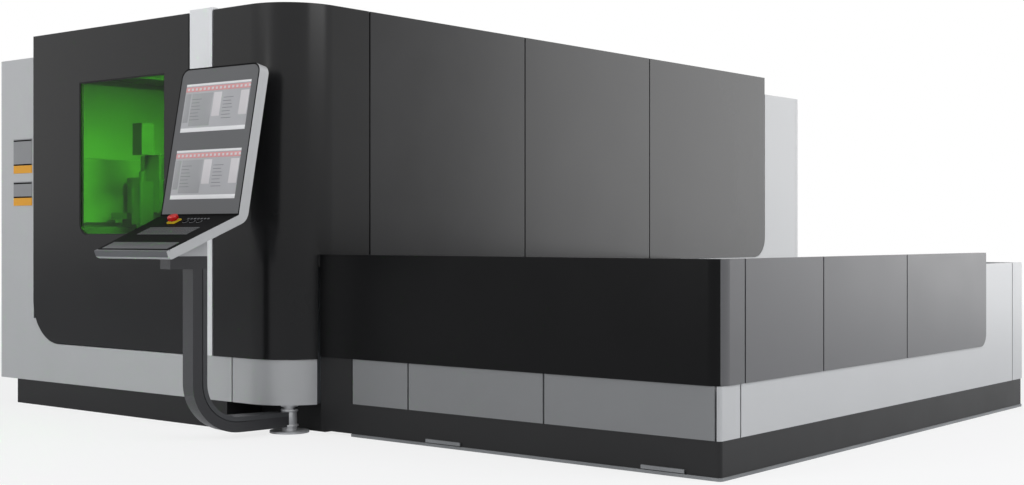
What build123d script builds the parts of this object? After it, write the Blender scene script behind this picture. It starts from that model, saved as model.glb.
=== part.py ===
from build123d import *
from math import cos, radians, sin
import os

os.makedirs("parts", exist_ok=True)

# A fiber laser cutting machine with a full enclosure and two exchanged cutting pallets.
# Millimetres. +X runs from the cabinet to the exchange box, +Y from the operator's side to the rear.
# The origin is on the floor under the tall cabinet, halfway along it.

# Cabinet
cabinet_left = 1263
cabinet_right = 1312
cabinet_length = 5250
plinth_height = 142
plinth_left_recess = 175
plinth_rear_recess = 60
plinth_wall = 40
recess_x = 830
recess_depth = 235
deck_thickness = 6
left_count = 4
rear_count = 3
roof_count = 4
roof_height = 2050
cladding_rise = 122
cladding_bottom = 372
cladding_proud = 6
cladding_side_bottom = 838
cladding_rear_return = 520
cladding_rear_radius = 150
corner_radius = 290
panel_depth = 40
sheet = 3
seam = 10
reveal = 1
past = 1

# Front of the cabinet, from left to right
wing_width = 348
door_width = 1441
door_gap = 6
door_depth = 34
door_corner_radius = 245
pillar_width = 196
pillar_rise = 14
skirt_seam_x = 870
side_seams = (555, 1860, 3186)
plate_places = ((1175, 1318), (1368, 1572))
plate_band = 46
plate_first = 135
plate_last = 327
plate_thickness = 3

# Window in the door
window_left = 463
window_width = 774
window_bottom = 1000
window_height = 870
window_radius = 70
window_margin = 18
glass_thickness = 8
gasket_thickness = 4
gasket_lip = 7
seal_inset = 60
seal_width = 16
door_lip = 84
swing_relief_x = (-920, -896)
swing_relief_z = (510, 572)
swing_relief_depth = 12

# Door hinge, concealed at the door's left edge
hinge_inset = 11
hinge_pin_radius = 5
hinge_barrel_radius = 8
hinge_clearance = 0.3
hinge_knuckle = 30
hinge_count = 3
hinge_first = 760
hinge_pitch = 610
hinge_leaf = 3
hinge_leaf_reach = 60

# Frame tubes
tube = 60
roof_tube = 60

# Exchange box
box_length = 2340
box_plinth_height = 162
box_setback = 198
box_skirt_top = 385
box_top = 902
box_body_top = 840
box_corner_radius = 70
box_edge_radius = 18
box_seams_front = (223, 603, 1426)
box_seams_side = (194, 893, 1790)
box_cladding_short = 561
box_end_radius = 70
box_body_short = 152
box_strip_seam = 166
sill_height = 14
sill_proud = 6
bar_length = 215
bar_height = 16
bar_rise = 18
bar_proud = 10
bar_places = (833, 2059)

# Bed and gantry
bed_left = -880
bed_right = 1040
bed_beam_width = 160
bed_beam_bottom = 930
bed_beam_height = 120
bed_setback = 125
bed_length = 3960
bed_leg = 120
guide_width = 34
guide_height = 26
block_length = 110
block_width = 76
block_height = 40
block_foot = 6
slide_clearance = 0.3
gantry_setback = 725
gantry_beam_depth = 180
gantry_beam_height = 220
gantry_beam_wall = 8
truck_length = 420
truck_height = 40
hole_count = 7
cross_guide_gap = 124
cross_width = 24
cross_height = 18
cross_foot = 5
cross_block = 30
cross_block_length = 70
cross_block_height = 56
cross_block_offset = 80
carriage_rest = -550
carriage_width = 240
carriage_height = 230
carriage_rise = 120
carriage_plate = 20
lift_width = 20
lift_height = 16
lift_offset = 70
motor_half = 45
motor_high = 190
motor_out = 70
motor_foot = 12
slide_block = 26
slide_gap = 5
slide_rise = 10
slide_length = 190
slide_margin = 15
head_half = 48
head_clear = 130
head_edge = 18
barrel_radius = 32
fibre_radius = 18
fibre_length = 60
nozzle_tip = 933
nozzle_height = 60
nozzle_radius = 26
cone_height = 34
cone_radius = 20
tip_radius = 5

# Pallet and its tracks
pallet_width = 1550
pallet_length = 3050
pallet_center_x = 80
pallet_setback = 176
pallet_clearance = 171
pallet_level = 681
pallet_tube_width = 60
pallet_tube_height = 90
pallet_bays = 3
slat_count = 40
slat_thickness = 5
slat_height = 72
slat_seat = 12
slat_teeth = 15
slat_tooth = 22
slat_margin = 25
wheel_radius = 40
wheel_width = 24
wheel_gap = 8
wheel_offset = 560
axle_radius = 14
track_gap = 6
track_leg = 60
track_thickness = 8
tray_count = 3
tray_height = 220
tray_wall = 4

# Units in the rear and left of the cabinet
unit_gap = 40
control_depth = 260
control_length = 900
control_height = 1320
laser_width = 900
laser_depth = 520
laser_height = 760

# Console and its swinging arm
post_x = 1167
post_setback = 124
post_radius = 29
post_foot_radius = 100
post_foot_height = 10
post_flange_radius = 38
post_flange_height = 34
post_collar_radius = 44
post_collar_height = 12
post_clearance = 0.3
arm_heading = 13
arm_reach = 520
arm_width = 112
arm_neck = 60
arm_beam = 50
arm_groove = 4
arm_cover = 22
arm_groove_inset = 8
arm_floor = 30
arm_bend = 248
arm_top = 898
arm_head = 62
arm_head_reach = 675
console_center = 1001
console_width = 567
console_yaw = 2.6
screen_tilt = 11
screen_panel = 763
screen_shell = 60
knee_forward = 320
knee_z = 1096
tray_slope = 22
tray_reach = 457
tray_taper = 22
tray_shell = 46
tray_front_shell = 30
console_top_radius = 50
console_knee_radius = 70
bezel_thickness = 4
bezel_margin = 8
screen_width = 472
screen_height = 252
screen_margin = 83
screen_recess = 1
deck_reach = 335
deck_thickness_top = 3
keyboard_start = 155
keyboard_reach = 105
keyboard_width = 382
rest_start = 345
rest_reach = 92
lip_start = 441
stop_from_knee = 84
stop_from_left = 194
stop_plate = 52
stop_plate_height = 8
stop_stem_radius = 16
stop_cap_radius = 27
stop_cap_height = 22
stop_travel = 6
key_count = 3
key_pitch = 50
key_radius = 11
key_height = 7
key_travel = 3
key_first = 272
button_clearance = 0.3


def box(x, y, z):
    """A block between two limits along each axis."""
    size = Box(x[1] - x[0], y[1] - y[0], z[1] - z[0])
    return Pos((x[0] + x[1]) / 2, (y[0] + y[1]) / 2, (z[0] + z[1]) / 2) * size


def upright(x, y, z, radius):
    """A vertical cylinder."""
    return Pos(x, y, (z[0] + z[1]) / 2) * Cylinder(radius, z[1] - z[0])


def along_y(x, y, z, radius):
    """A cylinder along Y."""
    return Pos(x, (y[0] + y[1]) / 2, z) * Rot(90, 0, 0) * Cylinder(radius, y[1] - y[0])


def facing_front(y):
    """The vertical plane that the operator looks at, with world X and Z as its own axes."""
    return Plane(origin=(0, y, 0), x_dir=(1, 0, 0), z_dir=(0, -1, 0))


def facing_right(x):
    """The vertical plane seen from the exchange side, with world Y and Z as its own axes."""
    return Plane(origin=(x, 0, 0), x_dir=(0, 1, 0), z_dir=(1, 0, 0))


def rectangle(across, up):
    """A rectangle between two limits across and up."""
    size = Rectangle(across[1] - across[0], up[1] - up[0])
    return Pos((across[0] + across[1]) / 2, (up[0] + up[1]) / 2) * size


def round_corner(sketch, across, up, radius):
    """Rounds the corner of a sketch that lies nearest to a point."""
    corner = sketch.vertices().sort_by_distance((across, up, 0))[0]
    return fillet(corner, radius)


def pan(plane, sketch, depth, wall=sheet):
    """A folded sheet panel: a face with a return flange all round, open at the back."""
    outer = extrude(plane * sketch, -depth)
    core = extrude(plane.offset(-wall) * offset(sketch, -wall, kind=Kind.ARC), wall - depth)
    return outer - core


def write(name, shape):
    """Writes one sub-part."""
    shape = shape if isinstance(shape, (Compound, Solid, Part)) else Compound(shape)
    export_step(shape, f"parts/{name}.step")


# Planes and edges that the cabinet's pieces share
left = -cabinet_left
right = cabinet_right
front = -cabinet_length / 2
rear = cabinet_length / 2
clad_front = front - cladding_proud
body_right = right - cladding_proud
frame_front = clad_front + panel_depth
frame_right = right - panel_depth
body_depth = panel_depth - cladding_proud
frame_left = left + body_depth
frame_rear = rear - body_depth
door_left = left + wing_width
door_right = door_left + door_width
pillar_right = door_right + pillar_width
clad_rear = rear - cladding_rear_return
cladding_top = roof_height + cladding_rise
recess_y = front + recess_depth
bed_front = front + bed_setback
bed_rear = bed_front + bed_length
gantry_rest = front + gantry_setback
post_y = front + post_setback
knee_y = front - knee_forward
side_seam_front = front + side_seams[0]

# The exchange box is as wide as the pallet that slides into it
box_left = right
box_right = right + box_length
box_front = front + box_setback
pallet_front = box_front + pallet_setback
pallet_rear = pallet_front + pallet_length
box_rear = pallet_rear + pallet_clearance
box_width = box_rear - box_front
box_cladding_end = box_width - box_cladding_short
box_body_seam = box_width - box_body_short


def door_outline(grow=0):
    """The door's outline: a rectangle with its free lower corner rounded."""
    shape = rectangle((door_left - grow, door_right + grow), (cladding_bottom - grow, cladding_top + grow))
    return round_corner(shape, door_left - grow, cladding_bottom - grow, door_corner_radius + grow)


def window_outline(grow=0):
    """The window's outline: its lower left corner is rounded like the door's."""
    edge = door_left + window_left
    across = (edge - grow, edge + window_width + grow)
    up = (window_bottom - grow, window_bottom + window_height + grow)
    return round_corner(rectangle(across, up), across[0], up[0], window_radius + grow)


def corner_wall(start, stop, inset, wall):
    """A plan of a wall that runs along the front, round the corner and along the right side."""
    outer_front = clad_front + inset
    outer_right = right - inset
    radius = corner_radius - inset
    reach = max(stop, clad_front + 2 * corner_radius)
    plan = rectangle((start, outer_right), (outer_front, reach))
    plan = round_corner(plan, outer_right, outer_front, radius)
    inner = rectangle((start, outer_right - wall), (outer_front + wall, reach))
    inner = round_corner(inner, outer_right - wall, outer_front + wall, radius - wall)
    return plan - inner - rectangle((start, outer_right), (stop, reach))


def corner_pan(start, stop, inset, depth, low, high):
    """A panel round the corner, with a flange at each end and along its top and bottom."""
    skin = extrude(corner_wall(start, stop, inset, sheet), high - low)
    rim = extrude(corner_wall(start, stop, inset, depth), sheet)
    end_low = clad_front + inset
    end_front = box((start, start + sheet), (end_low, end_low + depth), (0, high - low))
    end_side = box((right - corner_radius, right), (stop - sheet, stop), (0, high - low))
    end_side &= extrude(corner_wall(start, stop, inset, depth), high - low)
    top_rim = Pos(0, 0, high - low - sheet) * rim
    return Pos(0, 0, low) * (skin + rim + top_rim + end_front + end_side)


# Base of the cabinet. Its front right corner is cut back for the console's post.
plinth_left = left + plinth_left_recess
plinth_rear = rear - plinth_rear_recess
plinth_plan = Polyline(
    (plinth_left, front),
    (recess_x, front),
    (recess_x, recess_y),
    (box_left, recess_y),
    (box_left, plinth_rear),
    (plinth_left, plinth_rear),
    close=True,
)
plinth_face = make_face(plinth_plan)
plinth = extrude(plinth_face - offset(plinth_face, -plinth_wall, kind=Kind.INTERSECTION), plinth_height)
write("cabinet_plinth", plinth)

# Floor deck on the base, which carries the frame, the bed and the units
deck_top = plinth_height + deck_thickness


def inner_plan(across, span):
    """A plan inside the panels, rounded like the cabinet's front right corner."""
    return round_corner(rectangle(across, span), across[1], span[0], corner_radius - panel_depth)


deck_plan = inner_plan((frame_left, frame_right), (frame_front, frame_rear))
box_plan = rectangle((box_left, box_right - panel_depth), (box_front + panel_depth, box_rear - panel_depth))
decks = []
for plan, low in ((deck_plan, plinth_height), (box_plan, box_plinth_height)):
    decks.append(Pos(0, 0, low) * extrude(plan, deck_thickness))
write("floor_decks", Compound(decks))

# Frame of square tubes, one solid to each tube
roof_low = roof_height - roof_tube - sheet
seal_middle = seal_inset + seal_width / 2
hinge_post = door_left + seal_middle
latch_post = door_right - seal_middle
pillar_post = (door_right + pillar_right) / 2
side_post_y = recess_y + tube
post_places = [
    (frame_left + tube / 2, frame_front + tube / 2),
    (hinge_post, frame_front + tube / 2),
    (latch_post, frame_front + tube / 2),
    (pillar_post, frame_front + tube / 2),
    (frame_right - tube / 2, side_post_y),
    (frame_right - tube / 2, bed_rear + tube),
    (frame_right - tube / 2, frame_rear - tube / 2),
    (frame_left + tube / 2, bed_rear + tube),
    (frame_left + tube / 2, frame_rear - tube / 2),
]
posts = []
for x, y in post_places:
    posts.append(box((x - tube / 2, x + tube / 2), (y - tube / 2, y + tube / 2), (deck_top, roof_low)))

corner_tube = corner_radius + tube
roof_up = (roof_low, roof_low + roof_tube)
roof_rails = [
    box((frame_left, right - corner_tube), (frame_front, frame_front + tube), roof_up),
    box((frame_left, frame_right), (frame_rear - tube, frame_rear), roof_up),
]
for low_x in (frame_left, frame_right - tube):
    first = frame_front + tube if low_x == frame_left else clad_front + corner_tube
    span = (first, frame_rear - tube)
    roof_rails.append(box((low_x, low_x + tube), span, roof_up))
for y in (side_post_y - tube / 2, bed_rear + tube / 2):
    across = (frame_left + tube, frame_right - tube)
    roof_rails.append(box(across, (y, y + tube), roof_up))
write("cabinet_frame", Compound(posts + roof_rails))

# Light grey body panels
wing = rectangle((left, skirt_seam_x - seam / 2), (plinth_height, roof_height))
wing -= rectangle((door_right + door_gap, skirt_seam_x), (cladding_bottom - reveal, roof_height))
wing -= door_outline(door_gap)
front_panel = pan(facing_front(front), wing, body_depth)
# Relief for the swinging door, where the opening's lower left corner begins to turn in
front_panel -= box(swing_relief_x, (front - past, front + swing_relief_depth), swing_relief_z)
write("front_body_panel", front_panel)

skirt_high = cladding_bottom - reveal
skirt_start = skirt_seam_x + seam / 2
skirt_stop = box_front - reveal
skirt = corner_pan(skirt_start, skirt_stop, cladding_proud, body_depth, plinth_height, skirt_high)
write("skirt_corner_panel", skirt)


def left_outline(first, last):
    """A panel on the cabinet's left side."""
    return rectangle((first, last), (plinth_height, roof_height))


left_panels = []
left_start = front + body_depth + reveal
left_pitch = (rear - body_depth - reveal - left_start) / left_count
for place in range(left_count):
    first = left_start + place * left_pitch + seam / 2
    last = left_start + (place + 1) * left_pitch - seam / 2
    panel = pan(facing_right(left), left_outline(first, last), body_depth)
    left_panels.append(mirror(panel, Plane.YZ.offset(left)))

rear_panels = []
rear_pitch = (right - left) / rear_count
for place in range(rear_count):
    first = left + place * rear_pitch + seam / 2
    last = left + (place + 1) * rear_pitch - seam / 2
    if place == rear_count - 1:
        last = body_right
    panel = pan(facing_front(rear), rectangle((first, last), (plinth_height, roof_height)), body_depth)
    rear_panels.append(mirror(panel, Plane.XZ.offset(-rear)))

# Right side below and behind the cladding, with the low opening that the pallets pass through
tail = rectangle((box_rear + reveal, rear - body_depth - reveal), (plinth_height, roof_height))
tail -= rectangle((0, clad_rear + seam), (cladding_side_bottom - reveal, roof_height))
tail = round_corner(tail, clad_rear + seam, cladding_side_bottom - reveal, cladding_rear_radius)
write("right_body_panel", pan(facing_right(body_right), tail, body_depth))

# Roof: sheets on the top rails, behind the raised cladding
roof_start = frame_front
roof_pitch = (frame_rear - roof_start) / roof_count
roof_panels = []
for place in range(roof_count):
    first = roof_start + place * roof_pitch
    span = (first, first + roof_pitch - seam)
    across = (frame_left, frame_right)
    plan = inner_plan(across, span) if place == 0 else rectangle(across, span)
    roof_panels.append(Pos(0, 0, roof_height - sheet) * extrude(plan, sheet))
write("outer_body_panels", Compound(left_panels + rear_panels + roof_panels))

# Dark cladding
corner_start = pillar_right + seam / 2
side_start = side_seam_front - seam / 2
corner = corner_pan(corner_start, side_start, 0, panel_depth, cladding_bottom, cladding_top)
corner -= box((0, right + past), (box_front - reveal, 0), (0, cladding_side_bottom))
write("corner_panel", corner)

side_panels = []
seams = [front + place for place in side_seams] + [clad_rear]
for name, first, last in zip(("front", "middle", "rear"), seams, seams[1:]):
    shape = rectangle((first + seam / 2, last - seam / 2), (cladding_side_bottom, cladding_top))
    if name == "rear":
        shape = round_corner(shape, last - seam / 2, cladding_side_bottom, cladding_rear_radius)
    side_panels.append(pan(facing_right(right), shape, panel_depth))
write("side_panels", Compound(side_panels))

pillar_edges = (door_right + seam, pillar_right - seam / 2)
pillar = rectangle(pillar_edges, (cladding_bottom, cladding_top + pillar_rise))
write("door_pillar", pan(facing_front(clad_front), pillar, panel_depth))

# Two blank plates on the wing, each with an amber band below it
plate_span = (left + plate_first, left + plate_last)
plates = []
bands = []
for low, high in plate_places:
    face = (front - plate_thickness, front)
    plates.append(box(plate_span, face, (low + plate_band + reveal, high)))
    bands.append(box(plate_span, face, (low, low + plate_band)))
write("wing_plates", Compound(plates + bands))

# Door: a folded panel with the window's opening, notched at its hinge edge
door_sheet_back = clad_front + door_depth
door = pan(facing_front(clad_front), door_outline(), door_depth)
door -= extrude(facing_front(clad_front) * window_outline(), -door_depth)
door += extrude(facing_front(door_sheet_back - sheet) * (door_outline() - door_outline(-door_lip)), -sheet)
axis_x = door_left + hinge_inset
axis_y = clad_front + hinge_inset
hinge_heights = [hinge_first + place * hinge_pitch for place in range(hinge_count)]
hinge_half = 1.5 * hinge_knuckle + hinge_clearance
for height in hinge_heights:
    notch = (height - hinge_half - hinge_leaf, height + hinge_half + hinge_leaf)
    notch_x = (door_left - past, axis_x + 2 * hinge_leaf)
    door -= box(notch_x, (clad_front + sheet, door_sheet_back + past), notch)
write("door_panel", door)

gasket_front = clad_front + sheet
gasket_back = gasket_front + gasket_thickness
gasket_shape = window_outline(window_margin) - window_outline(-gasket_lip)
gasket = extrude(facing_front(gasket_front) * gasket_shape, -gasket_thickness)
write("window_gasket", gasket)
glass = extrude(facing_front(gasket_back) * window_outline(window_margin), -glass_thickness)
write("window_glass", glass)

# Window clamp: a frame behind the glass, joined to the door's flanges by two stiffeners
clamp_back = door_sheet_back - sheet
glass_back = gasket_back + glass_thickness
clamp_shape = window_outline(window_margin) - window_outline()
clamp = extrude(facing_front(glass_back) * clamp_shape, glass_back - clamp_back)
for height in (window_bottom - window_margin - 2 * tube, window_bottom + window_height + window_margin):
    inside = (door_left + door_corner_radius, door_right - sheet)
    clamp += box(inside, (gasket_front, clamp_back), (height, height + 2 * tube))
write("window_clamp", clamp)

# Door seal on the frame, and the hinges
seal_shape = door_outline(-seal_inset) - door_outline(-seal_inset - seal_width)
door_seal = extrude(facing_front(door_sheet_back) * seal_shape, door_sheet_back - frame_front)
write("door_seal", door_seal)

header_x = (hinge_post - tube / 2, latch_post + tube / 2)
header = box(header_x, (frame_front, frame_front + tube), (roof_height, cladding_top - seal_inset))
threshold_high = cladding_bottom + seal_inset + seal_width + tube / 2
threshold_x = (hinge_post + tube / 2, latch_post - tube / 2)
threshold = box(threshold_x, (frame_front, frame_front + tube), (threshold_high - 2 * tube, threshold_high))
write("door_rails", Compound([header, threshold]))

frame_leaves = []
door_leaves = []
for height in hinge_heights:
    knuckle = (height - hinge_knuckle / 2, height + hinge_knuckle / 2)
    barrel = upright(axis_x, axis_y, knuckle, hinge_barrel_radius)
    tongue = box((axis_x - hinge_leaf, axis_x + hinge_leaf), (axis_y, frame_front), knuckle)
    foot_across = (axis_x - hinge_leaf, door_left + seal_inset - reveal)
    foot = box(foot_across, (frame_front - hinge_leaf, frame_front), knuckle)
    bore = upright(axis_x, axis_y, knuckle, hinge_pin_radius + hinge_clearance)
    frame_leaves.append(barrel + tongue + foot - bore)
    pair = upright(axis_x, axis_y, (height - hinge_half, height + hinge_half), hinge_pin_radius)
    for side in (-1, 1):
        middle = height + side * (hinge_knuckle + hinge_clearance)
        part = (middle - hinge_knuckle / 2, middle + hinge_knuckle / 2)
        pair += upright(axis_x, axis_y, part, hinge_barrel_radius)
        leaf_span = (clad_front + sheet, clad_front + sheet + hinge_leaf)
        pair += box((axis_x, axis_x + hinge_leaf_reach), leaf_span, part)
    door_leaves.append(pair)
write("hinge_frame_leaves", Compound(frame_leaves))
write("hinge_door_leaves", Compound(door_leaves))

# Wheels, tracks and legs that the pallet shares with the bed
wheel_out = wheel_gap + wheel_width
web_in = wheel_out + track_gap
web_out = web_in + track_thickness
track_top = pallet_level - wheel_radius - slide_clearance
bed_beam_top = bed_beam_bottom + bed_beam_height
guide_x = (bed_left + bed_beam_width / 2, bed_right + bed_beam_width / 2)

# Bed
beams = []
for low_x in (bed_left, bed_right):
    across = (low_x, low_x + bed_beam_width)
    beams.append(box(across, (bed_front, bed_rear), (bed_beam_bottom, bed_beam_top)))

leg_spans = [
    (pallet_front - web_out - bed_leg, pallet_front - web_out),
    (pallet_rear + web_out, pallet_rear + web_out + bed_leg),
]
legs = []
for x in guide_x:
    for span in leg_spans:
        legs.append(box((x - bed_leg / 2, x + bed_leg / 2), span, (deck_top, bed_beam_bottom)))
write("bed_frame", Compound(beams + legs))

guides = []
for x in guide_x:
    across = (x - guide_width / 2, x + guide_width / 2)
    guides.append(box(across, (bed_front, bed_rear), (bed_beam_top, bed_beam_top + guide_height)))
write("gantry_guides", Compound(guides))


def track(first, last, side):
    """An angle that carries the wheels on one side of the pallet."""
    edge = pallet_front if side < 0 else pallet_rear
    inner = edge + side * wheel_gap / 2
    outer = edge + side * web_out
    web = edge + side * web_in
    leg = box((first, last), sorted((inner, outer)), (track_top - track_thickness, track_top))
    web_up = (track_top, track_top - track_thickness + track_leg)
    return leg + box((first, last), sorted((web, outer)), web_up)


track_left = guide_x[0] - bed_leg / 2
track_break = right
track_right = box_right - panel_depth - tube
tracks = []
for side in (-1, 1):
    tracks.append(track(track_left, track_break - seam, side))
    tracks.append(track(track_break + seam, track_right, side))
write("pallet_tracks", Compound(tracks))

# Slag trays under the cutting area
trays = []
tray_pitch = pallet_length / tray_count
tray_across = (pallet_center_x - pallet_width / 2 + bed_leg, pallet_center_x + pallet_width / 2 - bed_leg)
for place in range(tray_count):
    first = pallet_front + place * tray_pitch
    span = (first + seam, first + tray_pitch - seam)
    tray = box(tray_across, span, (deck_top, deck_top + tray_height))
    inside_x = (tray_across[0] + tray_wall, tray_across[1] - tray_wall)
    inside_y = (span[0] + tray_wall, span[1] - tray_wall)
    trays.append(tray - box(inside_x, inside_y, (deck_top + tray_wall, deck_top + tray_height)))
write("slag_trays", Compound(trays))

# Gantry: bearing blocks, end trucks, hollow beam and the guides across it
block_low = bed_beam_top + block_foot
block_high = block_low + block_height
block_offset = truck_length / 2 - block_length / 2
blocks = []
for x in guide_x:
    for y in (gantry_rest - block_offset, gantry_rest + block_offset):
        span = (y - block_length / 2, y + block_length / 2)
        block = box((x - block_width / 2, x + block_width / 2), span, (block_low, block_high))
        groove = (x - guide_width / 2 - slide_clearance, x + guide_width / 2 + slide_clearance)
        groove_top = bed_beam_top + guide_height + slide_clearance
        blocks.append(block - box(groove, span, (block_low, groove_top)))
write("gantry_blocks", Compound(blocks))

truck_high = block_high + truck_height
trucks = []
for x in guide_x:
    span = (gantry_rest - truck_length / 2, gantry_rest + truck_length / 2)
    trucks.append(box((x - bed_beam_width / 2, x + bed_beam_width / 2), span, (block_high, truck_high)))

beam_span = (guide_x[0] - bed_beam_width / 2, guide_x[1] + bed_beam_width / 2)
beam_front = gantry_rest - gantry_beam_depth / 2
beam_back = gantry_rest + gantry_beam_depth / 2
beam_high = truck_high + gantry_beam_height
beam = box(beam_span, (beam_front, beam_back), (truck_high, beam_high))
wall = gantry_beam_wall
beam -= box(beam_span, (beam_front + wall, beam_back - wall), (truck_high + wall, beam_high - wall))
hole_pitch = (beam_span[1] - beam_span[0]) / hole_count
hole_radius = gantry_beam_height / 2 - 5 * wall
for place in range(hole_count):
    x = beam_span[0] + (place + 0.5) * hole_pitch
    beam -= along_y(x, (beam_back - 2 * wall, beam_back + past), (truck_high + beam_high) / 2, hole_radius)
for truck in trucks:
    beam += truck
write("gantry_beam", beam)

cross_middle = (truck_high + beam_high) / 2
cross_heights = (cross_middle - cross_guide_gap / 2, cross_middle + cross_guide_gap / 2)
cross_span = (guide_x[0] + bed_beam_width / 2, guide_x[1] - bed_beam_width / 2)
cross = []
for z in cross_heights:
    up = (z - cross_width / 2, z + cross_width / 2)
    cross.append(box(cross_span, (beam_front - cross_height, beam_front), up))
write("cross_guides", Compound(cross))

# Carriage on the gantry: blocks, plate and the upright guides of the cutting head
block_face = beam_front - cross_foot - cross_block
carriage_blocks = []
for z in cross_heights:
    for x in (carriage_rest - cross_block_offset, carriage_rest + cross_block_offset):
        across = (x - cross_block_length / 2, x + cross_block_length / 2)
        up = (z - cross_block_height / 2, z + cross_block_height / 2)
        block = box(across, (block_face, beam_front - cross_foot), up)
        groove_up = (z - cross_width / 2 - slide_clearance, z + cross_width / 2 + slide_clearance)
        groove_in = beam_front - cross_height - slide_clearance
        carriage_blocks.append(block - box(across, (groove_in, beam_front), groove_up))
write("carriage_blocks", Compound(carriage_blocks))

plate_across = (carriage_rest - carriage_width / 2, carriage_rest + carriage_width / 2)
plate_up = (cross_middle - carriage_height / 2, cross_middle + carriage_height / 2 + carriage_rise)
plate_front = block_face - carriage_plate
carriage = box(plate_across, (plate_front, block_face), plate_up)

for x in (carriage_rest - lift_offset, carriage_rest + lift_offset):
    across = (x - lift_width / 2, x + lift_width / 2)
    carriage += box(across, (plate_front - lift_height, plate_front), plate_up)
write("carriage_plate", carriage)

motor_y = plate_front - motor_out
motor_across = (carriage_rest - motor_half, carriage_rest + motor_half)
motor_span = (motor_y - motor_half, motor_y + motor_half)
motor = box(motor_across, motor_span, (plate_up[1], plate_up[1] + motor_high))
motor += box(motor_across, (motor_y, block_face), (plate_up[1], plate_up[1] + motor_foot))
write("lift_motor", motor)

# Cutting head: a slide on the upright guides, the optics housing and the nozzle
slide_back = plate_front - slide_gap
slide_face = slide_back - slide_block
slide_up = (plate_up[0] + slide_rise, plate_up[0] + slide_rise + slide_length)
slide_across = (plate_across[0] + slide_margin, plate_across[1] - slide_margin)
head_slide = box(slide_across, (slide_face, slide_back), slide_up)
for x in (carriage_rest - lift_offset, carriage_rest + lift_offset):
    groove = (x - lift_width / 2 - slide_clearance, x + lift_width / 2 + slide_clearance)
    head_slide -= box(groove, (plate_front - lift_height - slide_clearance, slide_back), slide_up)

head_y = slide_face - head_half
head_low = nozzle_tip + head_clear
head_high = slide_up[1] - slide_rise
head_across = (carriage_rest - head_half, carriage_rest + head_half)
head_body = box(head_across, (head_y - head_half, slide_face), (head_low, head_high))
head_body = fillet(head_body.edges().filter_by(Axis.Z).sort_by(Axis.Y)[:2], head_edge)
barrel = upright(carriage_rest, head_y, (nozzle_tip + nozzle_height, head_low), barrel_radius)
fibre = upright(carriage_rest, head_y, (head_high, head_high + fibre_length), fibre_radius)
write("cutting_head", head_slide + head_body + barrel + fibre)

tip = Polyline(
    (0, nozzle_tip),
    (tip_radius, nozzle_tip),
    (cone_radius, nozzle_tip + cone_height),
    (nozzle_radius, nozzle_tip + cone_height),
    (nozzle_radius, nozzle_tip + nozzle_height),
    (0, nozzle_tip + nozzle_height),
    close=True,
)
nozzle = revolve(make_face(Plane.XZ * tip), Axis.Z)
write("cutting_nozzle", Pos(carriage_rest, head_y, 0) * nozzle)

# Pallet: a welded tube frame on two axles, with saw-toothed slats standing in it
frame_low = pallet_level - pallet_tube_height / 2
frame_high = pallet_level + pallet_tube_height / 2
pallet_left = pallet_center_x - pallet_width / 2
pallet_right = pallet_center_x + pallet_width / 2
pallet = box((pallet_left, pallet_right), (pallet_front, pallet_rear), (frame_low, frame_high))
bay_pitch = (pallet_length - pallet_tube_width) / pallet_bays
for place in range(pallet_bays):
    first = pallet_front + pallet_tube_width + place * bay_pitch
    inside = (pallet_left + pallet_tube_width, pallet_right - pallet_tube_width)
    pallet -= box(inside, (first, first + bay_pitch - pallet_tube_width), (frame_low, frame_high))
axle_places = (pallet_center_x - wheel_offset, pallet_center_x + wheel_offset)
for x in axle_places:
    pallet -= along_y(x, (pallet_front, pallet_rear), pallet_level, axle_radius + slide_clearance)
slat_low = frame_high - slat_seat
slat_places = []
slat_pitch = (pallet_length - 2 * pallet_tube_width) / slat_count
for place in range(slat_count):
    slat_places.append(pallet_front + pallet_tube_width + (place + 0.5) * slat_pitch)
slot_width = slat_thickness
for y in slat_places:
    slot = (y - slot_width / 2, y + slot_width / 2)
    pallet -= box((pallet_left + slat_margin, pallet_right - slat_margin), slot, (slat_low, frame_high))
write("pallet_frame", pallet)

tooth_pitch = (pallet_width - 2 * slat_margin) / slat_teeth
slat_high = slat_low + slat_height
slat_points = [(pallet_left + slat_margin, slat_low)]
for tooth in range(slat_teeth):
    start = pallet_left + slat_margin + tooth * tooth_pitch
    slat_points.append((start, slat_high - slat_tooth))
    slat_points.append((start + tooth_pitch / 2, slat_high))
slat_points.append((pallet_right - slat_margin, slat_high - slat_tooth))
slat_points.append((pallet_right - slat_margin, slat_low))
slat_face = make_face(Polyline(*slat_points, close=True))
slat = extrude(Plane.XZ * slat_face, slat_thickness / 2, both=True)
write("pallet_slats", Compound([Pos(0, y, 0) * slat for y in slat_places]))

for name, x in zip(("inner", "outer"), axle_places):
    reach = (pallet_front - wheel_out, pallet_rear + wheel_out)
    wheelset = along_y(x, reach, pallet_level, axle_radius)
    for tread in (
        (pallet_front - wheel_out, pallet_front - wheel_gap),
        (pallet_rear + wheel_gap, pallet_rear + wheel_out),
    ):
        wheelset += along_y(x, tread, pallet_level, wheel_radius)
    write(f"wheelset_{name}", wheelset)

# Units that stand on the deck: the control cabinet and the laser source
control_x = (frame_left + unit_gap, frame_left + unit_gap + control_depth)
control_y = (frame_front + tube + unit_gap, frame_front + tube + unit_gap + control_length)
write("control_cabinet", box(control_x, control_y, (deck_top, deck_top + control_height)))
laser_x = (-laser_width / 2, laser_width / 2)
laser_y = (frame_rear - tube - unit_gap - laser_depth, frame_rear - tube - unit_gap)
write("laser_source", box(laser_x, laser_y, (deck_top, deck_top + laser_height)))

# Exchange box: base, frame and deck
box_body_front = box_front + cladding_proud
box_body_right = box_right - cladding_proud
base_edge = (box_left, box_body_right)
base_span = (box_body_front, box_rear - cladding_proud)


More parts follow.
